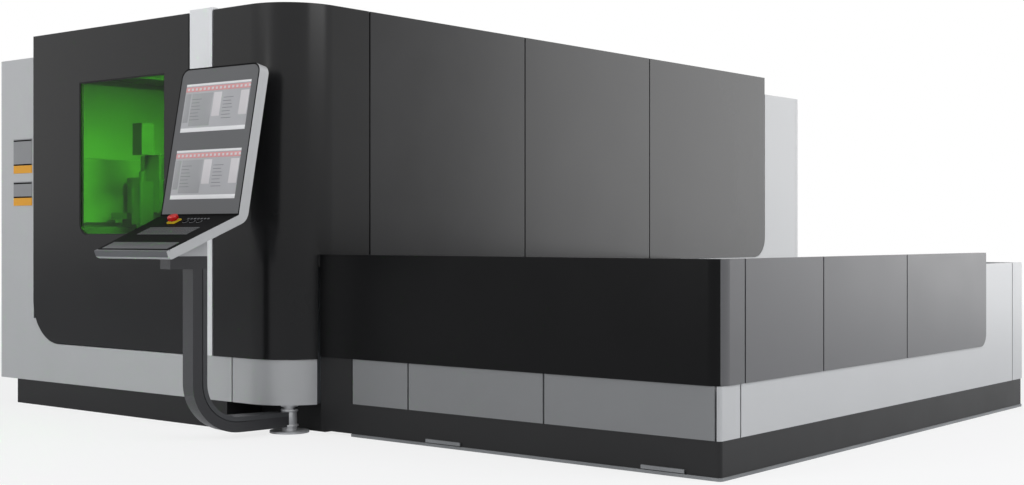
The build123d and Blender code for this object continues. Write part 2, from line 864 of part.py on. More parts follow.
def ring(across, span, height, wall):
    """A rectangular ring with an upright edge radius on its two outer right corners."""
    plan = rectangle(across, span)
    plan = fillet(plan.vertices().sort_by(Axis.X)[-2:], box_edge_radius)
    hole = rectangle((across[0] + wall, across[1] - wall), (span[0] + wall, span[1] - wall))
    return Pos(0, 0, height[0]) * extrude(plan - hole, height[1] - height[0])


riser_across = (base_edge[0], box_left + box_seams_front[0] - reveal)
riser_up = (box_plinth_height, box_skirt_top - reveal)
riser = box(riser_across, (base_span[0], box_front + panel_depth), riser_up)
base = ring(base_edge, base_span, (sill_height, box_plinth_height), plinth_wall)
write("exchange_plinth", base + riser)
sill_edge = (base_edge[0] + box_seams_front[0], base_edge[1] + sill_proud)
sill_span = (base_span[0] - sill_proud, base_span[1])
sill = ring(sill_edge, sill_span, (0, sill_height), plinth_wall)
bars = []
for place in bar_places:
    across = (box_left + place - bar_length / 2, box_left + place + bar_length / 2)
    bars.append(box(across, (box_body_front - bar_proud, box_body_front), (bar_rise, bar_rise + bar_height)))
write("exchange_sill", Compound([sill] + bars))

box_frame_front = box_front + panel_depth
box_frame_right = box_right - panel_depth
box_frame_rear = box_rear - panel_depth
box_frame_low = box_plinth_height + deck_thickness
box_frame_high = box_body_top - sheet
box_posts_x = (track_break + seam + tube, box_frame_right - 1.5 * tube)
box_frame = []
for x in box_posts_x:
    for side in (-1, 1):
        edge = pallet_front - web_out if side < 0 else pallet_rear + web_out
        face = box_frame_front if side < 0 else box_frame_rear
        up = (box_frame_low, box_frame_high - tube)
        box_frame.append(box((x - tube / 2, x + tube / 2), sorted((edge, face)), up))
rail_up = (box_frame_high - tube, box_frame_high)
rail_across = (box_left + reveal, box_frame_right - tube)
box_frame.append(box(rail_across, (box_frame_front, box_frame_front + tube), rail_up))
box_frame.append(box(rail_across, (box_frame_rear - tube, box_frame_rear), rail_up))
corner_clear = box_frame_front + box_corner_radius
box_frame.append(box((box_frame_right - tube, box_frame_right), (corner_clear, box_frame_rear), rail_up))
write("exchange_frame", Compound(box_frame))

# Exchange box: dark cladding with a rounded corner, seen from the operator's side
box_clad_low = box_skirt_top
corner_stop = box_front + box_seams_side[0] - seam / 2


def box_corner_plan(inset, depth):
    """The plan of the cladding that runs along the box's front and round its corner."""
    shapes = []
    for step in (0, depth):
        across = (box_left + reveal, box_right - inset - step)
        plan = rectangle(across, (box_front + inset + step, corner_stop))
        radius = box_corner_radius - inset - step
        shapes.append(round_corner(plan, across[1], box_front + inset + step, radius))
    return shapes[0] - shapes[1]


clad_height = box_top - box_clad_low
box_corner = extrude(box_corner_plan(0, sheet), clad_height)
box_corner += extrude(box_corner_plan(0, panel_depth), sheet)
box_corner += Pos(0, 0, clad_height - sheet) * extrude(box_corner_plan(0, panel_depth), sheet)
write("exchange_corner_panel", Pos(0, 0, box_clad_low) * box_corner)

box_sides = []
stops = box_seams_side + (box_cladding_end,)
for first, last in zip(stops, stops[1:]):
    shape = rectangle((box_front + first + seam / 2, box_front + last - seam / 2), (box_clad_low, box_top))
    if last == box_cladding_end:
        shape = round_corner(shape, box_front + last - seam / 2, box_clad_low, box_end_radius)
    box_sides.append(pan(facing_right(box_right), shape, panel_depth))
write("exchange_side_panels", Compound(box_sides))

# Exchange box: light grey skirt, end panels and rear
box_skirt_high = box_skirt_top - reveal
front_stops = box_seams_front + (box_length - cladding_proud - box_edge_radius - seam / 2,)
box_skirts = []
for first, last in zip(front_stops, front_stops[1:]):
    gap = seam / 2
    across = (box_left + first + gap, box_left + last - gap)
    shape = rectangle(across, (box_plinth_height, box_skirt_high))
    box_skirts.append(pan(facing_front(box_body_front), shape, body_depth))
write("exchange_skirt_panels", Compound(box_skirts))

corner_x = box_left + front_stops[-1] + seam / 2
strip_stop = box_front + box_strip_seam - seam / 2
corner_strip = []
for step in (0, sheet):
    across = (corner_x, box_body_right - step)
    plan = rectangle(across, (box_body_front + step, strip_stop))
    corner_strip.append(round_corner(plan, across[1], box_body_front + step, box_edge_radius - step))
strip_plan = corner_strip[0] - corner_strip[1]
strip = Pos(0, 0, box_plinth_height) * extrude(strip_plan, box_skirt_high - box_plinth_height)
long_span = (strip_stop + seam, box_front + box_body_seam - seam / 2)
long_skirt = rectangle(long_span, (box_plinth_height, box_body_top))
clad_end = box_front + box_cladding_end + seam / 2
long_skirt -= rectangle((strip_stop, clad_end), (box_skirt_high, box_body_top))
long_skirt = round_corner(long_skirt, clad_end, box_skirt_high, box_end_radius + seam)
end_span = (box_front + box_body_seam + seam / 2, box_rear)
end_strip = rectangle(end_span, (box_plinth_height, box_body_top))
light_sides = [strip]
for shape in (long_skirt, end_strip):
    light_sides.append(pan(facing_right(box_body_right), shape, body_depth))

rear_across = (box_left + reveal, box_body_right - body_depth - reveal)
rear_shape = rectangle(rear_across, (box_plinth_height, box_body_top))
rear_panel = pan(facing_front(box_rear), rear_shape, body_depth)
light_sides.append(mirror(rear_panel, Plane.XZ.offset(-box_rear)))
write("exchange_light_panels", Compound(light_sides))

# Post on which the console's arm swings: its foot stays on the floor, the tube turns
foot = upright(post_x, post_y, (0, post_foot_height), post_foot_radius)
spigot_radius = post_radius / 2
spigot_high = post_foot_height + post_flange_height
foot += upright(post_x, post_y, (post_foot_height, spigot_high), spigot_radius)
post_low = post_foot_height + post_clearance
collar_low = plinth_height - post_collar_height
collar = upright(post_x, post_y, (collar_low, plinth_height), post_collar_radius)
collar -= upright(post_x, post_y, (collar_low, plinth_height), spigot_radius + post_clearance)
write("post_bearings", Compound([foot, collar]))
post_high = collar_low - post_clearance
post = upright(post_x, post_y, (post_low, post_high), post_radius)
post += upright(post_x, post_y, (post_low, spigot_high), post_flange_radius)
post -= upright(post_x, post_y, (post_low, spigot_high + post_clearance), spigot_radius + post_clearance)
post += upright(post_x, post_y, (post_high, plinth_height - post_clearance), spigot_radius)


def swing_place(shape):
    """Turns a shape drawn with the arm heading towards the operator to its real heading."""
    return Pos(post_x, post_y, 0) * Rot(0, 0, -arm_heading) * shape


arm_thick = arm_beam + arm_groove + arm_cover


def arm_band(near, deep):
    """A band of the arm between two depths behind its outer face."""
    shapes = []
    for step in (near, deep):
        far = arm_reach + arm_thick / 2 - step
        plan = rectangle((-arm_bend, far), (arm_floor + step, arm_top + arm_bend))
        shapes.append(round_corner(plan, far, arm_floor + step, arm_bend - step))
    band = shapes[0] - shapes[1]
    band -= rectangle((-arm_bend, 0), (0, arm_top + arm_bend))
    return band - rectangle((-past, arm_reach * 2), (arm_top, arm_top * 2))


arm_plane = Plane(origin=(0, 0, 0), x_dir=(0, -1, 0), z_dir=(-1, 0, 0))
arm_solid = extrude(arm_plane * arm_band(0, arm_beam), arm_width / 2, both=True)
arm_web = arm_band(arm_beam, arm_beam + arm_groove)
arm_solid += extrude(arm_plane * arm_web, arm_width / 2 - arm_groove_inset, both=True)
head_box = rectangle((arm_reach - arm_thick / 2, arm_head_reach), (arm_top - arm_head, arm_top))
arm_solid += extrude(arm_plane * head_box, arm_width / 2, both=True)
taper_far = arm_reach - arm_bend
taper = make_face(
    Polyline(
        (-arm_neck / 2, 0),
        (arm_neck / 2, 0),
        (arm_width / 2, -taper_far),
        (arm_width / 2, -arm_head_reach),
        (-arm_width / 2, -arm_head_reach),
        (-arm_width / 2, -taper_far),
        close=True,
    )
)
arm_solid &= extrude(taper, arm_top)
post_hole = Cylinder(post_radius, 2 * arm_top) + Cylinder(post_flange_radius, 2 * spigot_high)
arm_solid -= post_hole
write("arm_beam", swing_place(arm_solid))

cover_band = arm_band(arm_beam + arm_groove, arm_thick) - head_box
cover_band -= rectangle((0, arm_reach), (arm_top - arm_head, arm_top))
arm_strip = extrude(arm_plane * cover_band, arm_width / 2, both=True) & extrude(taper, arm_top)
write("arm_cover", swing_place(arm_strip - post_hole))
write("pivot_post", post)

# Console: a bent shell with a tilted screen panel and a sloping tray
tilt = radians(screen_tilt)
slope = radians(tray_slope)
panel_way = (sin(tilt), cos(tilt))
panel_back = (cos(tilt), -sin(tilt))
tray_way = (-cos(slope), -sin(slope))
tray_down = (sin(slope), -cos(slope))


def console_place(shape):
    """Turns the console a little towards the exchange side, about the middle of its knee."""
    return Pos(console_center, knee_y, 0) * Rot(0, 0, console_yaw) * Pos(-console_center, -knee_y, 0) * shape


def from_knee(way, along, off, depth):
    """A point of the console's side view, along one of its two panels and behind its face."""
    return (knee_y + along * way[0] + depth * off[0], knee_z + along * way[1] + depth * off[1])


def crossing(p, a, q, b):
    """Where the line through p along a meets the line through q along b."""
    cross = a[0] * b[1] - a[1] * b[0]
    share = ((q[0] - p[0]) * b[1] - (q[1] - p[1]) * b[0]) / cross
    return (p[0] + share * a[0], p[1] + share * a[1])


top_back = from_knee(panel_way, screen_panel, panel_back, screen_shell)
front_under = from_knee(tray_way, tray_reach, tray_down, tray_front_shell)
mid_under = from_knee(tray_way, lip_start, tray_down, tray_shell)
knee_back = crossing(top_back, panel_way, mid_under, tray_way)
shell_points = [
    (knee_y, knee_z),
    from_knee(panel_way, screen_panel, panel_back, 0),
    top_back,
    knee_back,
    mid_under,
    front_under,
    from_knee(tray_way, tray_reach, tray_down, 0),
]
shell_side = make_face(Polyline(*shell_points, close=True))
shell_side = fillet(shell_side.vertices().sort_by_distance((*knee_back, 0))[0], console_knee_radius)
console_left = console_center - console_width / 2
console_right = console_center + console_width / 2
side_plane = Plane(origin=(console_left, 0, 0), x_dir=(0, 1, 0), z_dir=(1, 0, 0))
shell = extrude(side_plane * shell_side, console_width)


def on_panel(along, depth):
    """The plane of the screen panel, with X across and Y up it, at a distance up from the knee."""
    y, z = from_knee(panel_way, along, panel_back, depth)
    return Plane(origin=(console_center, y, z), x_dir=(1, 0, 0), z_dir=(0, -panel_back[0], -panel_back[1]))


def on_tray(along, depth):
    """The plane of the tray's top, with X across and Y up towards the knee."""
    y, z = from_knee(tray_way, along, tray_down, depth)
    return Plane(origin=(console_center, y, z), x_dir=(1, 0, 0), z_dir=(0, -tray_down[0], -tray_down[1]))


def rounded_top(width, length, radius):
    """A rectangle standing on the panel's lower edge with its two upper corners rounded."""
    shape = Pos(0, length / 2) * Rectangle(width, length)
    return fillet(shape.vertices().sort_by(Axis.Y)[-2:], radius)


panel_outline = rounded_top(console_width, screen_panel, console_top_radius)
keep = extrude(on_panel(0, -screen_shell) * panel_outline, -3 * screen_shell)
below = box((console_left, console_right), (knee_y - tray_reach, knee_y + tray_reach), (0, knee_z))
shell &= keep + below
inner_width = console_width - 2 * bezel_margin
bezel_radius = console_top_radius - bezel_margin
bezel_outline = rounded_top(inner_width, screen_panel - 2 * bezel_margin, bezel_radius)
screen_middles = (screen_margin + screen_height / 2, screen_panel - screen_margin - screen_height / 2)
screen_shape = Rectangle(screen_width, screen_height)
bezel = extrude(on_panel(bezel_margin, 0) * bezel_outline, -bezel_thickness)
shell -= bezel
screens = []
for along in screen_middles:
    bezel -= extrude(on_panel(along, 0) * screen_shape, -bezel_thickness)
    screens.append(extrude(on_panel(along, screen_recess) * screen_shape, screen_recess - bezel_thickness))
write("console_bezel", console_place(bezel))
write("screens", console_place(Compound(screens)))


def tray_plate(start, reach, width, depth, thick, shift=0):
    """A flat plate let into the tray's top."""
    middle = start + reach / 2
    return extrude(on_tray(middle, depth) * Pos(shift, 0) * Rectangle(width, reach), -thick)


def tray_sides(margin):
    """What is cut from the tray's two sides, which draw in towards the operator."""
    edge = console_width / 2 - margin
    reach = tray_reach + reveal
    points = [(edge, 0), (edge - tray_taper, -reach), (console_width, -reach), (console_width, 0)]
    side = make_face(Polyline(*points, close=True))
    plane = on_tray(0, console_knee_radius)
    cut = extrude(plane * side, 2 * console_knee_radius)
    return cut + extrude(plane * mirror(side, Plane.YZ), 2 * console_knee_radius)


deck_top_plate = tray_plate(bezel_margin, deck_reach - bezel_margin, inner_width, 0, deck_thickness_top)
keyboard = tray_plate(keyboard_start, keyboard_reach, keyboard_width, 0, deck_thickness_top)
palm_rest = tray_plate(rest_start, rest_reach, inner_width, 0, deck_thickness_top)
deck_top_plate -= tray_sides(bezel_margin)
palm_rest -= tray_sides(bezel_margin)
shell -= tray_sides(0)
rest_stop = rest_start + rest_reach
groove = tray_plate(rest_stop, lip_start - rest_stop, console_width, 0, 2 * deck_thickness_top)
shell -= deck_top_plate
shell -= palm_rest
shell -= groove
deck_top_plate -= keyboard
stop_x = console_left + stop_from_left - console_center
stop_start = stop_from_knee - stop_plate / 2
stop_base = tray_plate(stop_start, stop_plate, stop_plate, -stop_plate_height, stop_plate_height, stop_x)


def tray_disc(along, shift, radius, low, high):
    """A cylinder that stands square to the tray between two heights above it."""
    disc = Pos(shift, 0) * Circle(radius)
    return extrude(on_tray(along, -low) * disc, high - low)


stop_base -= tray_disc(stop_from_knee, stop_x, stop_stem_radius + button_clearance, 0, stop_plate_height)
cap_low = stop_plate_height + stop_travel + button_clearance
stop_low = stop_travel + button_clearance
stop = tray_disc(stop_from_knee, stop_x, stop_stem_radius, stop_low, cap_low)
cap = tray_disc(stop_from_knee, stop_x, stop_cap_radius, cap_low, cap_low + stop_cap_height)
cap = fillet(cap.edges().filter_by(GeomType.CIRCLE).sort_by(Axis.Z)[-1], stop_cap_height / 2)
write("emergency_stop", console_place(stop + cap))
write("stop_plate", console_place(stop_base))

for place in range(key_count):
    shift = console_left + key_first + place * key_pitch - console_center
    well = tray_disc(stop_from_knee, shift, key_radius + button_clearance, -deck_thickness_top, 0)
    deck_top_plate -= well
    low = key_travel + button_clearance - deck_thickness_top
    key = tray_disc(stop_from_knee, shift, key_radius, low, key_height)
    write(f"key_{place + 1}", console_place(key))
write("console_shell", console_place(shell))
write("tray_deck", console_place(deck_top_plate))
write("tray_inlays", console_place(Compound([keyboard, palm_rest])))

# Light grey bracket between the arm's head and the underside of the tray
bracket_near = arm_reach - arm_thick / 2
bracket_size = Rectangle(arm_width, arm_head_reach - bracket_near)
bracket_plan = Pos(0, -(bracket_near + arm_head_reach) / 2) * bracket_size
bracket = swing_place(Pos(0, 0, arm_top) * extrude(bracket_plan, knee_z - arm_top))
under_side = make_face(
    Polyline(
        mid_under,
        knee_back,
        (knee_back[0], 0),
        (mid_under[0], 0),
        close=True,
    )
)
bracket &= console_place(extrude(side_plane * under_side, console_width))
write("console_bracket", bracket)
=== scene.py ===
"""Dresses the fiber laser cutting machine's CAD frame with its finishes and fine pieces."""

import logging
import math
from collections.abc import Callable
from dataclasses import dataclass, field
from enum import Enum

import bpy
from mathutils import Matrix, Vector

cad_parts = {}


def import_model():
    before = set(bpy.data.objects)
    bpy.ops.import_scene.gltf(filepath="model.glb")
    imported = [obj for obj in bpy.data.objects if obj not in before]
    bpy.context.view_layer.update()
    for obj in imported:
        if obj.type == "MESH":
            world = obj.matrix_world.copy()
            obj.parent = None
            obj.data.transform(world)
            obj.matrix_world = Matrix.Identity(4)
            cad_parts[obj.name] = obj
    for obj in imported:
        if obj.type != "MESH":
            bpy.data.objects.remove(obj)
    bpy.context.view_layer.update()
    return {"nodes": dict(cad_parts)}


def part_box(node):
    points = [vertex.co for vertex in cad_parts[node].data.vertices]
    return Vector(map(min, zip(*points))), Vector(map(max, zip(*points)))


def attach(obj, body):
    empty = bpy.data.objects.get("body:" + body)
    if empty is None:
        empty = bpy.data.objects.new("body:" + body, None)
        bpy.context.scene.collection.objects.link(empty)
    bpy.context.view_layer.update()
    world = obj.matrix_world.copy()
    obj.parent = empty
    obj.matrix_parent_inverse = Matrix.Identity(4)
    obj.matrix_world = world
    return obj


Point = tuple[float, float, float]
Pair = tuple[float, float]

LOG = logging.getLogger("laser_cutter")
MM = 0.001
SMOOTH_ANGLE = math.radians(35)
RIM_ANGLE = math.radians(30)
WHITE = (1.0, 1.0, 1.0, 1.0)
# Along the grinding the grain is sampled this much slower, which draws it out into lines
GRINDING_STRETCH = 0.02
# Depth of a grain's relief as a share of its width
GRAIN_DEPTH = 0.3
# Clouds to a metre in a coat, how far they move its roughness, and the noise they're cut from
CLOUDS = 3.0
CLOUD_ROUGHNESS = 0.07
CLOUD_LOW, CLOUD_HIGH = 0.3, 0.7
# Cosine above which two directions count as the same
SAME_WAY = 0.99


def linear(hex_colour: str) -> tuple[float, float, float, float]:
    """Turns an sRGB hex colour into the linear colour that Blender's sockets take.

    Args:
        hex_colour: Six hex digits, red first.

    Returns:
        Linear red, green, blue and an alpha of 1.
    """
    shares = [int(hex_colour[i : i + 2], 16) / 255 for i in (0, 2, 4)]
    values = [s / 12.92 if s <= 0.04045 else ((s + 0.055) / 1.055) ** 2.4 for s in shares]
    return (values[0], values[1], values[2], 1.0)


def add_node(
    tree: bpy.types.NodeTree, kind: str, settings: dict | None = None, links: dict | None = None
) -> bpy.types.Node:
    """Adds one node with its settings and its incoming links.

    Args:
        tree: The node tree that gets the node.
        kind: The node's type name.
        settings: Attributes by name, and input values by socket name.
        links: Output sockets by the input socket's name or number.

    Returns:
        The new node.
    """
    node = tree.nodes.new(kind)
    for name, value in (settings or {}).items():
        if hasattr(node, name):
            setattr(node, name, value)
        else:
            node.inputs[name].default_value = value
    for name, output in (links or {}).items():
        tree.links.new(output, node.inputs[name])
    return node


class Surface(Enum):
    """How a finish was made, which decides its relief."""

    SPRAYED = "sprayed"
    MOULDED = "moulded"
    GROUND = "ground"
    ROLLED = "rolled"
    SMOOTH = "smooth"


@dataclass(frozen=True)
class Finish:
    """A real material with its colour, gloss and the relief that its making leaves."""

    name: str
    colour: str
    roughness: float
    surface: Surface = Surface.SPRAYED
    metallic: float = 0.0
    specular: float = 0.5
    ior: float = 1.5
    grain_mm: float = 1.6
    relief: float = 0.04
    spread: float = 0.04
    emission: float = 0.0
    transmission: float = 0.0

    def make(self) -> bpy.types.Material:
        """Builds the material's nodes.

        Returns:
            The material, ready for a mesh.
        """
        material = bpy.data.materials.new(self.name)
        material.use_nodes = True
        tree = material.node_tree
        tree.nodes.clear()
        place = add_node(tree, "ShaderNodeTexCoord")
        stretch = (1.0, 1.0, GRINDING_STRETCH if self.surface is Surface.GROUND else 1.0)
        turned = add_node(tree, "ShaderNodeMapping", {"Scale": stretch}, {"Vector": place.outputs["Object"]})
        grain = add_node(
            tree,
            "ShaderNodeTexNoise",
            {"Scale": 1.0 / (self.grain_mm * MM), "Detail": 2.0, "Roughness": 0.5},
            {"Vector": turned.outputs["Vector"]},
        )
        clouds = add_node(
            tree,
            "ShaderNodeTexNoise",
            {"Scale": CLOUDS, "Detail": 3.0, "Roughness": 0.55},
            {"Vector": place.outputs["Object"]},
        )
        base = linear(self.colour)
        dark = tuple(c * (1 - self.spread) for c in base[:3]) + (1.0,)
        pale = tuple(min(1.0, c * (1 + self.spread)) for c in base[:3]) + (1.0,)
        ramp = add_node(tree, "ShaderNodeValToRGB", {}, {"Fac": clouds.outputs["Fac"]})
        ramp.color_ramp.elements[0].position = CLOUD_LOW
        ramp.color_ramp.elements[0].color = dark
        ramp.color_ramp.elements[1].position = CLOUD_HIGH
        ramp.color_ramp.elements[1].color = pale
        rough = add_node(
            tree,
            "ShaderNodeMapRange",
            {
                "From Min": CLOUD_LOW,
                "From Max": CLOUD_HIGH,
                "To Min": self.roughness * (1 - CLOUD_ROUGHNESS),
                "To Max": min(1.0, self.roughness * (1 + CLOUD_ROUGHNESS)),
            },
            {"Value": clouds.outputs["Fac"]},
        )
        bump = add_node(
            tree,
            "ShaderNodeBump",
            {"Strength": self.relief, "Distance": self.grain_mm * MM * GRAIN_DEPTH},
            {"Height": grain.outputs["Fac"]},
        )
        shader = add_node(
            tree,
            "ShaderNodeBsdfPrincipled",
            {
                "Metallic": self.metallic,
                "Specular IOR Level": self.specular,
                "IOR": self.ior,
                "Transmission Weight": self.transmission,
            },
            {
                "Base Color": ramp.outputs["Color"],
                "Roughness": rough.outputs["Result"],
                "Normal": bump.outputs["Normal"],
            },
        )
        if self.emission:
            shader.inputs["Emission Color"].default_value = base
            shader.inputs["Emission Strength"].default_value = self.emission
        add_node(tree, "ShaderNodeOutputMaterial", {}, {"Surface": shader.outputs["BSDF"]})
        return material


# Polyester powder coat, sprayed and baked: faint orange peel, soft sheen
LIGHT_COAT = Finish("light_grey_powder_coat", "BFC0C1", 0.33, grain_mm=2.0, relief=0.04, spread=0.012)
# The same coat on the box's skirt, painted a shade darker: painted shade standing in for the shade beside the
# tall cabinet
SKIRT_SHADE_COAT = Finish("skirt_powder_coat_painted_shade", "868788", 0.33, grain_mm=2.0, relief=0.04, spread=0.02)
# Two-layer anthracite paint: nearly black with a broad soft gloss
DARK_PAINT = Finish(
    "anthracite_gloss_paint", "161617", 0.22, grain_mm=2.2, relief=0.025, spread=0.05, specular=0.31,
)
# The tall side in the same anthracite, painted paler than its front: painted light for the side that faces
# the key light
TALL_SIDE_LIT_PAINT = Finish(
    "anthracite_flake_paint", "2A2A2B", 0.24, grain_mm=2.2, relief=0.025, spread=0.05, specular=0.3,
)
# The box's front in the same anthracite painted blacker: painted shade beside the tall cabinet; it is sprayed
# flatter too, so it hardly mirrors the floor
BOX_FRONT_SHADE_PAINT = Finish("black_satin_paint", "0E0E0F", 0.3, grain_mm=2.2, relief=0.03, spread=0.05, specular=0.14)
# The box's side: the same anthracite painted mid grey, a painted sheen for the side that faces the lamps and
# mirrors them
BOX_SIDE_SHEEN_PAINT = Finish(
    "silver_flake_anthracite_paint", "59595B", 0.36, grain_mm=2.2, relief=0.03, spread=0.03, specular=0.6,
)
# Structure paint on the bases: a fine hard texture that scatters the floor's light
BLACK_PAINT = Finish(
    "black_structure_paint", "1E1E1F", 0.5, grain_mm=1.2, relief=0.12, spread=0.06, specular=0.33,
)
# Arm castings are painted a dark grey that shines along its rounded edges
ARM_PAINT = Finish(
    "dark_grey_arm_enamel", "3C3C3E", 0.24, grain_mm=2.0, relief=0.03, spread=0.04, specular=0.4,
)
# The arm's cover strip has the same enamel a shade paler, so its edge shows beside the groove
COVER_PAINT = Finish(
    "grey_arm_cover_enamel", "47484A", 0.24, grain_mm=2.0, relief=0.03, spread=0.04, specular=0.5,
)
# White powder coat on the pillar: the brightest strip of the machine, hardly shining
WHITE_COAT = Finish("white_powder_coat", "EFF0F1", 0.4, grain_mm=2.0, relief=0.04, spread=0.01)
# Ground bearing steel: fine lines along the grinding
GROUND_STEEL = Finish("ground_steel", "A9ABAD", 0.3, Surface.GROUND, metallic=1.0, grain_mm=1.0, relief=0.06)
# Satin nickel on the turned collars: pale, with a broad soft streak
SATIN_NICKEL = Finish(
    "satin_nickel_plate", "C4C5C7", 0.38, Surface.GROUND, metallic=0.45, grain_mm=1.0, relief=0.04,
)
# Machine enamel on welded frames: a mid grey, brushed on thick and a little uneven
MACHINE_PAINT = Finish("grey_machine_enamel", "6E7276", 0.45, grain_mm=1.8, relief=0.06)
# The gantry's enamel is paler, so that splashes show on it
PALE_ENAMEL = Finish("pale_grey_machine_enamel", "B4B7BA", 0.4, grain_mm=1.8, relief=0.05)
# Pickled mild steel plate: dull, cloudy mill finish
MILL_STEEL = Finish(
    "mill_steel_plate", "8B8D8F", 0.5, Surface.ROLLED, metallic=0.9, grain_mm=3.0, relief=0.08, spread=0.12,
)
# Nitrile rubber seals: black and quite dull
NITRILE = Finish("nitrile_rubber", "161617", 0.75, Surface.MOULDED, grain_mm=1.0, relief=0.1)
# Laser safety acrylic, cast: green right through, glossy faces
GREEN_PANE = Finish(
    "green_laser_acrylic", "46BC20", 0.03, Surface.SMOOTH, grain_mm=40, relief=0.004, spread=0.02,
    ior=1.2, transmission=1.0,
)
# Textured black ABS scatters what it mirrors, so the deck stays black under the window
DARK_ABS = Finish(
    "black_abs", "0B0B0C", 0.6, Surface.MOULDED, grain_mm=0.8, relief=0.08, spread=0.05, specular=0.04,
)
# Moulded ABS lip of the tray: dark grey with a soft shine where palms rub it
LIP_ABS = Finish("dark_grey_abs_lip", "5E5F62", 0.35, Surface.MOULDED, grain_mm=0.8, relief=0.05)
# The palm pad is moulded softer and duller than the lip
PALM_ABS = Finish(
    "grey_abs_palm_pad", "525356", 0.5, Surface.MOULDED, grain_mm=0.8, relief=0.08, specular=0.3,
)
# Key caps, moulded with a fine grain that keeps them from glaring
KEY_ABS = Finish(
    "grey_abs_key_caps", "4A4B4D", 0.45, Surface.MOULDED, grain_mm=0.8, relief=0.08, specular=0.3,
)
# Lit pictures of plain drawing windows, under a thin glass front
DISPLAY_PINK = Finish(
    "display_title_band", "C98F90", 0.2, Surface.SMOOTH, grain_mm=30, relief=0.01, emission=0.15,
)
DISPLAY_PALE = Finish(
    "display_tool_band", "C6C3C5", 0.2, Surface.SMOOTH, grain_mm=30, relief=0.01, emission=0.15,
)
DISPLAY_WHITE = Finish(
    "display_status_band", "D9D9DA", 0.2, Surface.SMOOTH, grain_mm=30, relief=0.01, emission=0.15,
)
DISPLAY_DIM = Finish(
    "display_drawing_area", "98999B", 0.2, Surface.SMOOTH, grain_mm=30, relief=0.01, emission=0.1,
)
DISPLAY_INK = Finish(
    "display_tool_marks", "77787C", 0.2, Surface.SMOOTH, grain_mm=30, relief=0.01, emission=0.08,
)
# Opal polycarbonate cover over the work lights: white and faintly shining
LAMP_DIFFUSER = Finish(
    "opal_lamp_cover", "C8C8C4", 0.5, Surface.SMOOTH, relief=0.01, spread=0.0, emission=0.1,
)
# Stove enamel on the chamber's lining: nearly white, so the light comes back from it
LINING_ENAMEL = Finish("white_lining_enamel", "E4E6E6", 0.45, grain_mm=2.0, relief=0.04)
# Zinc-plated lifting gear and screws: a dull silver
ZINC = Finish("zinc_plated_steel", "A5A8AC", 0.35, Surface.ROLLED, metallic=1.0, grain_mm=1.5, relief=0.05)
# The bezel round the displays: mid grey ABS with an even, satin grain
GREY_ABS = Finish("grey_abs_bezel", "58595B", 0.4, Surface.MOULDED, grain_mm=0.8, relief=0.06, spread=0.03)
# A display behind its thin glass: lit from within and mirroring a little of the room
DISPLAY = Finish(
    "lit_display_panel", "A9A9AC", 0.18, Surface.SMOOTH, grain_mm=30, relief=0.01, spread=0.1, emission=0.12,
)
# The stop button: red right through and shining, as moulded against a polished die
RED_PLASTIC = Finish("red_button_plastic", "C80F0F", 0.25, Surface.MOULDED, grain_mm=3, relief=0.02)
# The stop button's plate: warning yellow, a little duller than the button
YELLOW_PLASTIC = Finish("yellow_plate_plastic", "E6C32A", 0.35, Surface.MOULDED, grain_mm=2, relief=0.03)
# Turned copper nozzle: reddish, with fine rings from the lathe
COPPER = Finish("turned_copper", "B87A50", 0.28, Surface.GROUND, metallic=1.0, grain_mm=1.0, relief=0.05)
# Anodised aluminium of the carriage and head: pale silver under a thin matt skin
ALUMINIUM = Finish(
    "anodised_aluminium", "B9BBBD", 0.36, Surface.GROUND, metallic=0.9, grain_mm=1.0, relief=0.05,
)
# Enamelled plate on the wing, blank: an even mid grey
GREY_PLATE = Finish("grey_enamelled_plate", "8F9092", 0.4, grain_mm=2.0, relief=0.04)
# The band under each plate: amber enamel, saturated and a little shining
AMBER_PLATE = Finish("amber_enamelled_band", "EBA51A", 0.4, grain_mm=2.0, relief=0.04)

NODE_FINISHES = {
    LIGHT_COAT: (
        "front_body_panel", "skirt_corner_panel", "outer_body_panels", "right_body_panel", "control_cabinet",
        "laser_source", "exchange_light_panels", "console_bracket", "console_shell",
    ),
    # The box's skirt takes the darker copy of the light coat: painted shade
    SKIRT_SHADE_COAT: ("exchange_skirt_panels",),
    DARK_PAINT: ("corner_panel", "door_panel"),
    # The tall side takes the paler copy of the anthracite: painted light
    TALL_SIDE_LIT_PAINT: ("side_panels",),
    # The box's front takes the blacker copy of the anthracite: painted shade
    BOX_FRONT_SHADE_PAINT: ("exchange_corner_panel",),
    # The box's side takes the mid grey copy of the anthracite: painted sheen
    BOX_SIDE_SHEEN_PAINT: ("exchange_side_panels",),
    BLACK_PAINT: ("cabinet_plinth", "exchange_plinth", "window_clamp"),
    ARM_PAINT: ("arm_beam",),
    COVER_PAINT: ("arm_cover",),
    WHITE_COAT: ("door_pillar",),
    GROUND_STEEL: (
        "hinge_frame_leaves", "hinge_door_leaves", "gantry_guides", "gantry_blocks", "cross_guides",
        "carriage_blocks", "wheelset_inner", "wheelset_outer",
    ),
    SATIN_NICKEL: ("post_bearings", "pivot_post"),
    MACHINE_PAINT: (
        "floor_decks", "cabinet_frame", "door_rails", "bed_frame", "exchange_frame", "lift_motor",
    ),
    PALE_ENAMEL: ("gantry_beam",),
    MILL_STEEL: ("pallet_tracks", "slag_trays", "pallet_frame", "pallet_slats", "exchange_sill"),
    NITRILE: ("door_seal", "window_gasket"),
    GREEN_PANE: ("window_glass",),
    DARK_ABS: ("tray_deck", "tray_inlays", "key_1", "key_2", "key_3"),
    GREY_ABS: ("console_bezel",),
    DISPLAY: ("screens",),
    RED_PLASTIC: ("emergency_stop",),
    YELLOW_PLASTIC: ("stop_plate",),
    COPPER: ("cutting_nozzle",),
    ALUMINIUM: ("carriage_plate", "cutting_head"),
    GREY_PLATE: ("wing_plates",),
}


